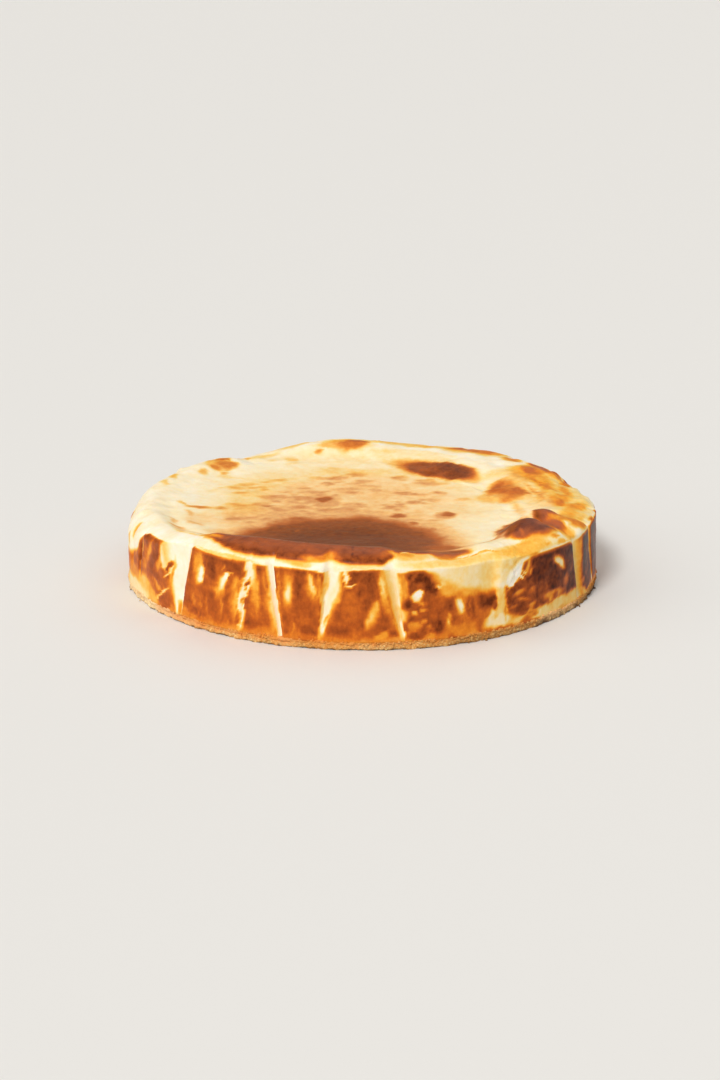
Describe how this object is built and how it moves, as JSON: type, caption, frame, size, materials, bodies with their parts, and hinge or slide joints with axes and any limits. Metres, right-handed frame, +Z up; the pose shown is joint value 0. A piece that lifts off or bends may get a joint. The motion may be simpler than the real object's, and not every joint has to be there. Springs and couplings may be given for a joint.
{
  "type": "basque burnt cheesecake",
  "caption": "Whole round burnt-top cheesecake on a thin biscuit base, with parchment folds pressed into its wall and a sunken top inside a puffed, blistered rim.",
  "frame": {"origin": "centre of the biscuit base's underside, on the surface that the cake stands on", "axes": "+Z up through the cake; +X to the viewer's right and -Y towards the viewer, who faces the browned front ridge of the rim"},
  "size_m": [0.2583, 0.257, 0.0528],
  "materials": {
    "baked_curd": "cream-coloured baked curd, blistered and caramelised to orange and dark brown where it scorched, with a soft sheen on the dark skin",
    "biscuit_crumb": "dry, matte, tan pressed crumbs"
  },
  "bodies": {
    "root": {"biscuit_base": "biscuit_crumb", "cheesecake": "baked_curd"}
  },
  "joints": []
}
